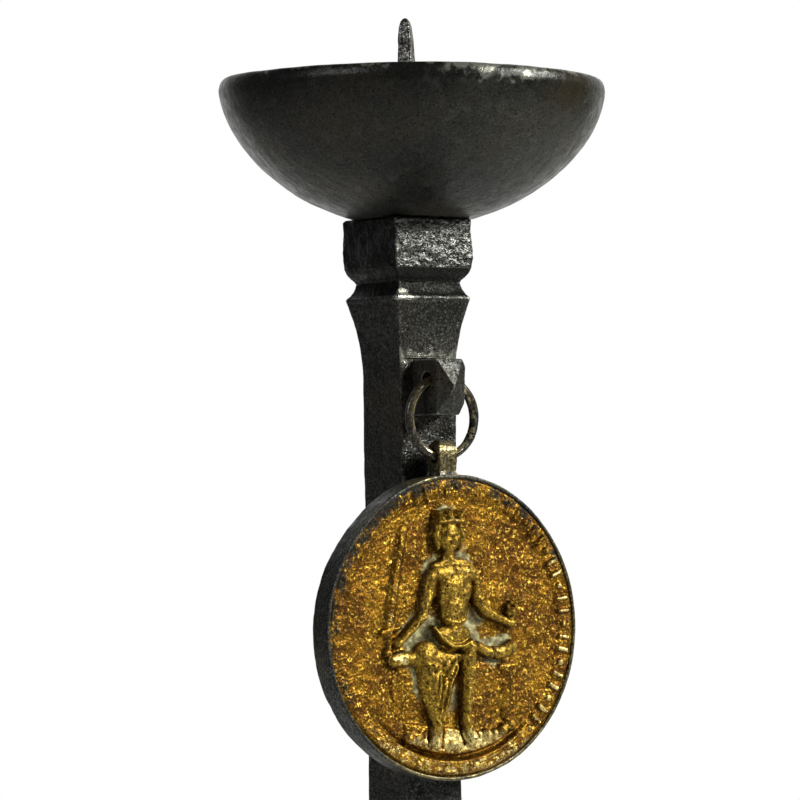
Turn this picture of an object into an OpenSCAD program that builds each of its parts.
// Pricket candlestick in cast iron: a deep bowl on a square moulded stem, with
// a gilt relief medallion hung from a forged boss by an open ring.
// Millimetres. +Z is up, the stem's front face looks along -Y, and the origin
// is the centre of the footprint on the table.

/* [Stem] */
// Overall height, from the table to the point of the pricket
total_h = 600; // [560:1:640]
// Width of the square shaft
shaft_w = 22; // [21:0.1:23]
// Width of the sharp arris where the shaft flares out under the capital
arris_w = 29.5; // [28:0.1:30]
// Height of the hollow flare between the shaft and the arris
flare_h = 24.9; // [20:0.1:28]
// Height of the hollow above the arris, up to the groove
neck_h = 5.1; // [4:0.1:6]

/* [Capital] */
// Width of the capital at its fullest
cushion_w = 30.8; // [30.4:0.1:32]
// Width of the capital under the bowl
cushion_top_w = 30.4; // [30:0.1:30.4]
// Width at the groove between the capital and the stem
groove_w = 24.9; // [24:0.1:26]
// Height of the capital, from the groove to the bowl's foot
cushion_h = 21.3; // [20:0.1:24]

/* [Bowl] */
// Outer radius of the rim
bowl_r = 64; // [62:0.1:66]
// How much the bowl's side spreads for each millimetre of height, beyond its half ellipse
bowl_flare = 0.16; // [0.1:0.01:0.2]
// Height above the capital at which the bowl is widest
rim_h = 43.8; // [43.5:0.1:44.5]
// Height of the rounded lip above that
lip_h = 2.6; // [1.8:0.1:3]
// Thickness of the bowl's wall
bowl_wall = 3.5; // [3:0.1:4]
// How far the bowl's centre stands off the stem's axis, to the right and to the back
bowl_shift = [1.8, -1.3];

/* [Pricket] */
// Height of the pricket's point above the height at which the bowl is widest
pricket_over_rim = 23.2; // [20:0.1:30]
// Width of the pricket's square root
pricket_w = 8.6; // [8.4:0.1:9.4]
// Width of the pricket just under its point
pricket_tip_w = 3; // [2.5:0.1:4]
// Turn of the pricket's faces against the stem's
pricket_turn = 37; // [0:1:90]

/* [Boss and ring] */
// Width, projection and height of the forged boss behind its diamond point
boss_size = [12, 12.9, 18.5];
// Height of the boss's diamond point
boss_point = 3.4; // [2:0.1:4]
// Depth of the boss's centre below the bowl's foot
boss_drop = 56; // [55:0.1:58]
// Outer diameter of the hanging ring
ring_d = 29; // [28:0.1:30]
// Diameter of the ring's wire
wire_d = 3.2; // [3:0.1:3.3]
// Distance from the shaft's face to the ring's plane
ring_stand = 7.4; // [7:0.1:8]
// Depth of the ring's centre below the bowl's foot
ring_drop = 66; // [65.8:0.1:66.2]

/* [Medallion] */
// Diameter of the medallion
medal_d = 100; // [98:0.5:101]
// Thickness of the medallion's edge
medal_t = 8.8; // [8:0.1:9]
// Gap between the medallion's back and the shaft
medal_gap = 3.0; // [2.5:0.1:3.2]
// Width of the thin lip round the gilt face
lip_w = 1.2; // [1:0.1:2]
// Depth of the medallion's centre below the bowl's foot
medal_drop = 134.5; // [134:0.1:135]
// Height of the relief above the gilt field, at its highest
relief_h = 3.8; // [2:0.1:4.5]

/* [Base] */
// Width of the square plinth
plinth_w = 150; // [140:1:170]
// Height of the plinth without its feet
plinth_h = 48; // [46:1:56]
// Height of the four feet
foot_h = 8; // [7:0.5:10]
// Diameter of a foot
foot_d = 24; // [22:0.5:26]

/* [Hidden] */

$fn = 96;
clear = 0.05;          // radial clearance of a shank, tenon or dowel in its hole

// levels above the table
rim_z = total_h - pricket_over_rim;
top_z = rim_z - rim_h;                 // top of the capital
stem_top_z = top_z - cushion_h;
plinth_top_z = foot_h + plinth_h;
stem_foot_z = plinth_top_z + cushion_h;

// colours
iron = "#2c2b29";
worn_iron = "#3b3935";
steel = "#4a463f";
gilt = "#b07f24";

// ---- square mouldings -------------------------------------------------------

// Outlines are lists of [half width, height]. A square moulding is the outline's
// prism seen from the front and the same prism seen from the side, in common.
module square_moulding(outline) {
    left = [for (i = [len(outline) - 1:-1:0]) [-outline[i][0], outline[i][1]]];
    reach = 2 * max([for (p = outline) p[0]]) + 2;
    intersection() {
        rotate([90, 0, 0])
            linear_extrude(reach, center = true) polygon(concat(outline, left));
        rotate([90, 0, 90])
            linear_extrude(reach, center = true) polygon(concat(outline, left));
    }
}

// The stem's end, from the groove at 0 down to the plain shaft below the flare
flare_steps = 10;
flare_power = 1.8;
stem_end_h = neck_h + flare_h;
stem_end = concat(
    [[shaft_w / 2, -stem_end_h]],
    [for (i = [1:flare_steps])
        let (t = i / flare_steps)
        [shaft_w / 2 + (arris_w - shaft_w) / 2 * pow(t, flare_power),
         flare_h * t - stem_end_h]],
    [[arris_w / 2 - 0.2, 0.6 - neck_h],
     [(arris_w + groove_w) / 4 - 0.4, -neck_h / 2],
     [groove_w / 2 + 0.1, -0.9],
     [groove_w / 2, 0]]);

// The cushion block, from the groove at 0 up to its top
cushion_mid_z = 10.5;
cushion = [
    [groove_w / 2, 0],
    [groove_w / 2 + 0.3, 0.8],
    [groove_w / 2 + 1.2, 1.8],
    [cushion_w / 2 - 0.9, 3.3],
    [cushion_w / 2 - 0.3, 5],
    [cushion_w / 2 - 0.05, 8],
    [cushion_w / 2, cushion_mid_z],
    [cushion_w / 2 - 0.05, 13.5],
    [cushion_top_w / 2, 17.5],
    [cushion_top_w / 2, cushion_h]];

// The block with its bolt hole, which serves as capital and, inverted, as collar
dowel_r = 2;
dowel_h = 10;
dowel_at = 7.4;
module cushion_block(bore_r) {
    difference() {
        square_moulding(cushion);
        translate([0, 0, -1]) cylinder(r = bore_r, h = cushion_h + 2);
        translate([dowel_at, dowel_at, -1])
            cylinder(r = dowel_r + clear, h = 1 + dowel_h / 2 + 0.2);
    }
}

// ---- base -------------------------------------------------------------------

slab_h = 12;
step_h = 5;
fillet_h = 4;
sweep_top_w = 42;
sweep_foot_w = plinth_w - 16;
sweep_h = plinth_h - slab_h - step_h - fillet_h;
plinth_outline = concat(
    [[plinth_w / 2 - 1, 0],
     [plinth_w / 2, 1],
     [plinth_w / 2, slab_h - 1],
     [plinth_w / 2 - 1, slab_h],
     [plinth_w / 2 - 6, slab_h],
     [plinth_w / 2 - 6, slab_h + step_h]],
    [for (a = [0:7.5:90])
        [sweep_top_w / 2 + (sweep_foot_w - sweep_top_w) / 2 * (1 - sin(a)),
         plinth_h - fillet_h - sweep_h * cos(a)]],
    [[sweep_top_w / 2 - 2.5, plinth_h - fillet_h],
     [sweep_top_w / 2 - 2.5, plinth_h]]);

foot_at = plinth_w / 2 - foot_d / 2 - 4;
feet = [for (y = [-1, 1], x = [-1, 1]) [x * foot_at, y * foot_at]];
plinth_wall = 9;
rod_r = 6;             // the stem's threaded tail
screw_r = 2.5;         // the foot screws
screw_depth = 9;
tail_pad_z = 14;       // underside of the pad that the washer bears on
tail_pad_r = 16;
hollow_h = 24;

module plinth() {
    color(iron)
    translate([0, 0, foot_h])
    difference() {
        square_moulding(plinth_outline);
        difference() {
            union() {
                cavity_w = plinth_w - 2 * plinth_wall;
                translate([-cavity_w / 2, -cavity_w / 2, -1])
                    cube([cavity_w, cavity_w, 11]);
                translate([-28, -28, -1]) cube([56, 56, hollow_h + 1]);
            }
            translate([0, 0, tail_pad_z]) cylinder(r = tail_pad_r, h = hollow_h);
            for (p = feet)
                translate([p[0], p[1], 0]) cylinder(r = foot_d / 2 + 1, h = hollow_h);
        }
        cylinder(r = rod_r + clear, h = plinth_h + 1);
        for (p = feet)
            translate([p[0], p[1], -1])
                cylinder(r = screw_r + clear, h = screw_depth + 1.5);
        translate([dowel_at, dowel_at, plinth_h - dowel_h / 2 - 0.2])
            cylinder(r = dowel_r + clear, h = dowel_h);
    }
}

// A low bun foot with a counterbore for its screw
module bun_foot(at) {
    color(iron)
    translate([at[0], at[1], 0])
    difference() {
        rotate_extrude()
            polygon(concat(
                [[0, 0]],
                [for (a = [-60:15:60])
                    [foot_d / 2 - 1.5 + 1.5 * cos(a), foot_h / 2 * (1 + sin(a) / sin(60))]],
                [[0, foot_h]]));
        translate([0, 0, -1]) cylinder(r = screw_r + 0.2, h = foot_h + 2);
        translate([0, 0, -1]) cylinder(r = 5.2, h = 4.2);
    }
}

module foot_screws() {
    color(steel)
    for (p = feet)
        translate([p[0], p[1], 0.8])
        difference() {
            union() {
                cylinder(r = 4.6, h = 2.4);
                cylinder(r = screw_r, h = foot_h - 0.8 + screw_depth);
            }
            translate([-5, -0.5, -1]) cube([10, 1, 2]);
        }
}

module base_collar() {
    color(iron)
    translate([0, 0, plinth_top_z])
    difference() {
        translate([0, 0, cushion_h]) mirror([0, 0, 1]) cushion_block(rod_r + clear);
        translate([dowel_at, dowel_at, -1])
            cylinder(r = dowel_r + clear, h = 1 + dowel_h / 2 + 0.2);
    }
}

washer_h = 2;
nut_h = 9;
tail_end_z = foot_h + 1;
module stem_washer() {
    color(steel)
    translate([0, 0, foot_h + tail_pad_z - washer_h])
    difference() {
        cylinder(r = 12, h = washer_h);
        translate([0, 0, -1]) cylinder(r = rod_r + 0.3, h = washer_h + 2);
    }
}

module stem_nut() {
    color(steel)
    translate([0, 0, foot_h + tail_pad_z - washer_h - nut_h])
    difference() {
        cylinder(r = 11, h = nut_h, $fn = 6);
        translate([0, 0, -1]) cylinder(r = rod_r + clear, h = nut_h + 2);
    }
}

// ---- stem, capital and bowl -------------------------------------------------

shank_r = 4;           // the pricket's threaded shank
shank_depth = 18;      // how far it reaches into the stem
tenon_r = 4;           // the boss's tenon
boss_z = top_z - boss_drop;
boss_washer_r = 8.5;
seat_h = 3;            // how far out the cuts for the boss's and washer's seats run

module stem() {
    upper = [for (p = stem_end) [p[0], p[1] + stem_top_z]];
    lower = [for (i = [len(stem_end) - 1:-1:0])
        [stem_end[i][0], stem_foot_z - stem_end[i][1]]];
    color(iron)
    difference() {
        union() {
            square_moulding(concat(lower, upper));
            translate([0, 0, tail_end_z]) cylinder(r = rod_r, h = stem_foot_z - tail_end_z + 1);
        }
        translate([0, 0, stem_top_z - shank_depth - 2])
            cylinder(r = shank_r + clear, h = shank_depth + 3);
        translate([0, 0, boss_z]) rotate([90, 0, 0])
            cylinder(r = tenon_r + clear, h = shaft_w + 2, center = true);
        // flat seats filed for the boss in front and its washer behind
        translate([-boss_size[0] / 2 - clear, -shaft_w / 2 - seat_h, boss_z - boss_size[2] / 2 - clear])
            cube([boss_size[0] + 2 * clear, seat_h, boss_size[2] + 2 * clear]);
        translate([0, shaft_w / 2, boss_z]) rotate([-90, 0, 0])
            cylinder(r = boss_washer_r + clear, h = seat_h);
        for (z = [stem_top_z - dowel_h / 2 - 0.2, stem_foot_z - dowel_h / 2])
            translate([dowel_at, dowel_at, z])
                cylinder(r = dowel_r + clear, h = dowel_h + 0.2);
    }
}

module locating_dowels() {
    color(steel)
    for (z = [plinth_top_z, stem_foot_z, stem_top_z])
        translate([dowel_at, dowel_at, z])
            cylinder(r = dowel_r, h = dowel_h, center = true);
}

module capital() {
    color(iron) translate([0, 0, stem_top_z]) cushion_block(shank_r + 0.3);
}

// The bowl's section: flared half ellipses outside and inside, cut off flat below
bowl_floor = 4.8;
outer_over = 2.5;      // how far the outer ellipse would reach below the bowl's foot
inner_over = 2;        // and the inner one below the floor
bowl_inner_depth = rim_h - bowl_floor + inner_over;
lip_r = bowl_wall / 2;
outer_cut = asin(rim_h / (rim_h + outer_over));
inner_cut = asin((rim_h - bowl_floor) / bowl_inner_depth);
bowl_steps = 20;
function bowl_point(r, depth, a) =
    let (z = rim_h - depth * sin(a))
    [(r - bowl_flare * rim_h) * cos(a) + bowl_flare * z, z];
bowl_section = concat(
    [[0, 0]],
    [for (i = [bowl_steps:-1:0])
        bowl_point(bowl_r, rim_h + outer_over, outer_cut * i / bowl_steps)],
    [for (a = [20:20:160]) [bowl_r - lip_r + lip_r * cos(a), rim_h + lip_h * sin(a)]],
    [for (i = [0:bowl_steps])
        bowl_point(bowl_r - bowl_wall, bowl_inner_depth, inner_cut * i / bowl_steps)],
    [[0, bowl_floor]]);

module bowl() {
    color(iron)
    translate([0, 0, top_z])
    difference() {
        translate([bowl_shift[0], bowl_shift[1], 0])
            rotate_extrude() polygon(bowl_section);
        translate([0, 0, -1]) cylinder(r = shank_r + 0.3, h = bowl_floor + 2);
    }
}

collar_r = 13;
collar_h = 3.4;
collar_z = top_z + bowl_floor;
module pricket_collar() {
    color(worn_iron)
    translate([0, 0, collar_z])
    difference() {
        rotate_extrude()
            polygon(concat(
                [[0, 0], [collar_r - 0.5, 0]],
                [for (a = [0:15:75]) [collar_r - 4 + 4 * cos(a), collar_h * sin(a)]],
                [[0, collar_h]]));
        translate([0, 0, -1]) cylinder(r = shank_r + 0.3, h = collar_h + 2);
    }
}

module pricket() {
    root_z = collar_z + collar_h;
    spike = [
        [pricket_w / 2, root_z],
        [pricket_w / 2 - 0.2, root_z + 4],
        [pricket_tip_w / 2 + 0.75, rim_z + 8],
        [pricket_tip_w / 2 + 0.25, total_h - 4.5],
        [pricket_tip_w / 2 - 0.2, total_h - 1.8],
        [pricket_tip_w / 2 - 0.7, total_h - 0.5],
        [pricket_tip_w / 2 - 1.2, total_h]];
    color(worn_iron)
    rotate([0, 0, pricket_turn]) {
        square_moulding(spike);
        translate([0, 0, stem_top_z - shank_depth])
            cylinder(r = shank_r, h = root_z - stem_top_z + shank_depth + 1);
    }
}

// ---- boss and ring ----------------------------------------------------------

wire_r = wire_d / 2;
ring_r = ring_d / 2 - wire_r;                    // to the middle of the wire
ring_y = -shaft_w / 2 - ring_stand;
ring_z = top_z - ring_drop;

// The ring's arc crosses the boss as a shallow bow. The hole is centred so that
// the bow's ends ride on its lower side, and the ring turns about the hole's axis.
hole_r = 2.9;
ring_clear = 0.2;
function wire_inside(x) = sqrt(pow(ring_r - wire_r, 2) - pow(x, 2));
hole_z = ring_z + wire_inside(boss_size[0] / 2) - ring_clear + hole_r;

peen_r = 6.5;
peen_h = 2.4;
boss_washer_h = 2;
module boss() {
    front = -shaft_w / 2 - boss_size[1];
    side = [[-shaft_w / 2, -boss_size[2] / 2],
            [front, -boss_size[2] / 2],
            [front - boss_point, 0],
            [front, boss_size[2] / 2],
            [-shaft_w / 2, boss_size[2] / 2]];
    plan = [[boss_size[0] / 2, -shaft_w / 2],
            [boss_size[0] / 2, front],
            [0, front - boss_point],
            [-boss_size[0] / 2, front],
            [-boss_size[0] / 2, -shaft_w / 2]];
    color(iron)
    difference() {
        union() {
            translate([0, 0, boss_z])
            intersection() {
                rotate([90, 0, 90]) linear_extrude(boss_size[0] + 2, center = true) polygon(side);
                linear_extrude(boss_size[2] + 2, center = true) polygon(plan);
            }
            translate([0, 0, boss_z]) rotate([-90, 0, 0]) {
                translate([0, 0, -shaft_w / 2 - 1])
                    cylinder(r = tenon_r, h = shaft_w + 1 + boss_washer_h + 0.5);
                translate([0, 0, shaft_w / 2 + boss_washer_h])
                    rotate_extrude()
                        polygon(concat([[0, 0]],
                            [for (a = [0:15:90]) [peen_r * cos(a), peen_h * sin(a)]]));
            }
        }
        translate([0, ring_y, hole_z]) rotate([0, 90, 0])
            cylinder(r = hole_r, h = boss_size[0] + 2, center = true);
    }
}

module boss_washer() {
    color(steel)
    translate([0, shaft_w / 2, boss_z]) rotate([-90, 0, 0])
    difference() {
        cylinder(r = boss_washer_r, h = boss_washer_h);
        translate([0, 0, -1]) cylinder(r = tenon_r + clear, h = boss_washer_h + 2);
    }
}

// The ring is one bent wire whose ends nearly meet at the lower right
joint_at = -25;
joint_gap = 1.6;
module hanging_ring() {
    color(worn_iron)
    translate([0, ring_y, ring_z]) rotate([90, 0, 0]) rotate([0, 0, joint_at + joint_gap / 2])
        rotate_extrude(angle = 360 - joint_gap)
            translate([ring_r, 0]) circle(r = wire_r);
}

// ---- medallion --------------------------------------------------------------

medal_r = medal_d / 2;
medal_z = top_z - medal_drop;
medal_back_y = -shaft_w / 2 - medal_gap;
tray_depth = 4.2;
field_drop = 1.2;      // how far the gilt field lies under the lip
face_y = medal_back_y - medal_t + tray_depth;    // the back of the gilt face
field_y = medal_back_y - medal_t + field_drop;

// The lug's hole hangs on the ring's wire, whose bow lies in it the other way up
lug_w = 7.4;
lug_d = 7;
lug_top_z = top_z - 73.2;
lug_hole_r = 2.2;
lug_hole_z = ring_z - wire_inside(lug_w / 2) + ring_clear - lug_hole_r;

rivet_at = [for (x = [-27, 27], z = [-20, 20]) [x, z]];
rivet_r = 1.25;

module medallion_tray() {
    lug_front = [[-lug_w / 2 + 0.5, -lug_top_z + medal_z + medal_r - 1],
                 [-lug_w / 2 + 0.7, -8],
                 [-lug_w / 2, -6.6],
                 [-lug_w / 2, -1.2],
                 [-lug_w / 2 + 0.8, 0],
                 [lug_w / 2 - 0.8, 0],
                 [lug_w / 2, -1.2],
                 [lug_w / 2, -6.6],
                 [lug_w / 2 - 0.7, -8],
                 [lug_w / 2 - 0.5, -lug_top_z + medal_z + medal_r - 1]];
    color(iron)
    difference() {
        union() {
            translate([0, medal_back_y, medal_z]) rotate([90, 0, 0])
            difference() {
                cylinder(r = medal_r, h = medal_t, $fn = 180);
                translate([0, 0, medal_t - tray_depth])
                    cylinder(r = medal_r - lip_w, h = tray_depth + 1, $fn = 180);
            }
            translate([0, ring_y, lug_top_z])
            intersection() {
                rotate([90, 0, 0]) linear_extrude(lug_d + 2, center = true) polygon(lug_front);
                rotate([90, 0, 90]) linear_extrude(lug_w + 2, center = true) union() {
                    translate([0, -lug_d / 2]) circle(r = lug_d / 2);
                    translate([-lug_d / 2, -lug_d / 2 - 20]) square([lug_d, 20]);
                }
            }
        }
        translate([0, ring_y, lug_hole_z]) rotate([0, 90, 0])
            cylinder(r = lug_hole_r, h = lug_w + 2, center = true);
        for (p = rivet_at)
            translate([p[0], medal_back_y + 1, medal_z + p[1]]) rotate([90, 0, 0])
                cylinder(r = rivet_r + clear, h = medal_t);
    }
}

// The relief is built up in flat layers on the field, in the face's own plane,
// u to the right and v up from its centre: [height as a share, outlines]
head_at = [-4.7, 30.6];
module layer(share) {
    linear_extrude(relief_h * share + 0.5) children();
}

module oval(rx, ry) {
    polygon([for (a = [0:15:345]) [rx * cos(a), ry * sin(a)]]);
}

module ground() {
    intersection() {
        circle(r = 41);
        translate([-20, -45]) square([46, 12]);
    }
}

module bench() {
    translate([-25, -11]) square([9, 4.5]);
    translate([-23, -34]) square([5, 24]);
    translate([11, -8.5]) square([14, 4.5]);
    translate([18.5, -34]) square([5, 26]);
    translate([-19, -14]) square([36, 5]);
}

module legs() {
    polygon([[-15, -8.5], [3, -9], [2.6, -15], [-4, -33.5], [-9, -33.5]]);
    polygon([[3.6, -5], [9.5, -5], [9, -18], [7, -33.5], [3.8, -33.5]]);
}

module lap() {
    polygon([[-11, 1], [6.5, 1], [9.5, -5], [9, -11], [-15, -10], [-14, -6]]);
}

module torso() {
    polygon([[-10.6, 20], [-8, 21.5], [5.5, 21.5], [7.6, 20], [7, 11], [4.8, 3],
             [5.5, 0], [-8, 0], [-7.4, 3], [-9.8, 11]]);
}

module arms() {
    polygon([[-13, 18], [-10, 20.5], [-9.6, 7], [-21, -4.6], [-25, -5.8], [-26, -3], [-12.8, 8]]);
    polygon([[7, 20.5], [9.8, 18], [10.4, 9], [19, 3.6], [25, 4.6], [26, 0.8], [19, -0.4], [7.6, 6.4]]);
}

module crown() {
    translate(head_at)
        polygon([[-4.4, 5], [4, 5], [4.8, 9.2], [2.6, 7.4], [1.6, 9.8], [-0.2, 7.6], [-2, 9.8],
                 [-3, 7.4], [-5, 9.2]]);
}

module sword() {
    polygon([[-27.4, -7], [-25.4, -7], [-21.6, 30], [-22.4, 33], [-23.6, 30]]);
    translate([-26, -0.5]) rotate(6) square([8, 1.4], center = true);
}

border_r = [39.5, 44.5];
border_count = 54;
module border() {
    for (i = [0:border_count - 1])
        rotate(360 / border_count * i)
            translate([(border_r[0] + border_r[1]) / 2, 0])
                square([i % 3 == 0 ? border_r[1] - border_r[0] : 2.6, 1.3], center = true);
}

module medallion_face() {
    color(gilt) {
        translate([0, face_y, medal_z]) rotate([90, 0, 0])
        difference() {
            cylinder(r = medal_r - lip_w - clear, h = face_y - field_y, $fn = 180);
            for (p = rivet_at)
                translate([p[0], p[1], -1]) cylinder(r = rivet_r + clear, h = 2.2);
        }
        translate([0, field_y + 0.5, medal_z]) rotate([90, 0, 0]) {
            layer(0.2) border();
            layer(0.3) sword();
            layer(0.45) ground();
            layer(0.4) bench();
            layer(0.7) arms();
            layer(0.65) translate([-7.2, 20]) square([5, 7]);
            layer(0.85) legs();
            layer(0.75) lap();
            layer(0.85) torso();
            layer(0.85) translate(head_at) oval(4, 5.8);
            layer(0.7) crown();
            layer(0.75) translate([25, 6]) circle(r = 2.3);
        }
    }
}

module medallion_rivets() {
    color(worn_iron)
    for (p = rivet_at)
        translate([p[0], medal_back_y, medal_z + p[1]]) rotate([90, 0, 0]) {
            translate([0, 0, -0.01])
                cylinder(r = rivet_r, h = medal_t - tray_depth + 1);
            rotate([180, 0, 0])
                rotate_extrude()
                    polygon(concat([[0, 0]],
                        [for (a = [0:15:90]) [2.5 * cos(a), 1.1 * sin(a)]]));
        }
}

plinth();
bun_foot(feet[0]);  // foot_front_left
bun_foot(feet[1]);  // foot_front_right
bun_foot(feet[2]);  // foot_back_left
bun_foot(feet[3]);  // foot_back_right
foot_screws();
base_collar();
stem();
stem_washer();
stem_nut();
locating_dowels();
capital();
bowl();
pricket_collar();
pricket();
boss();
boss_washer();
hanging_ring();
medallion_tray();
medallion_face();
medallion_rivets();
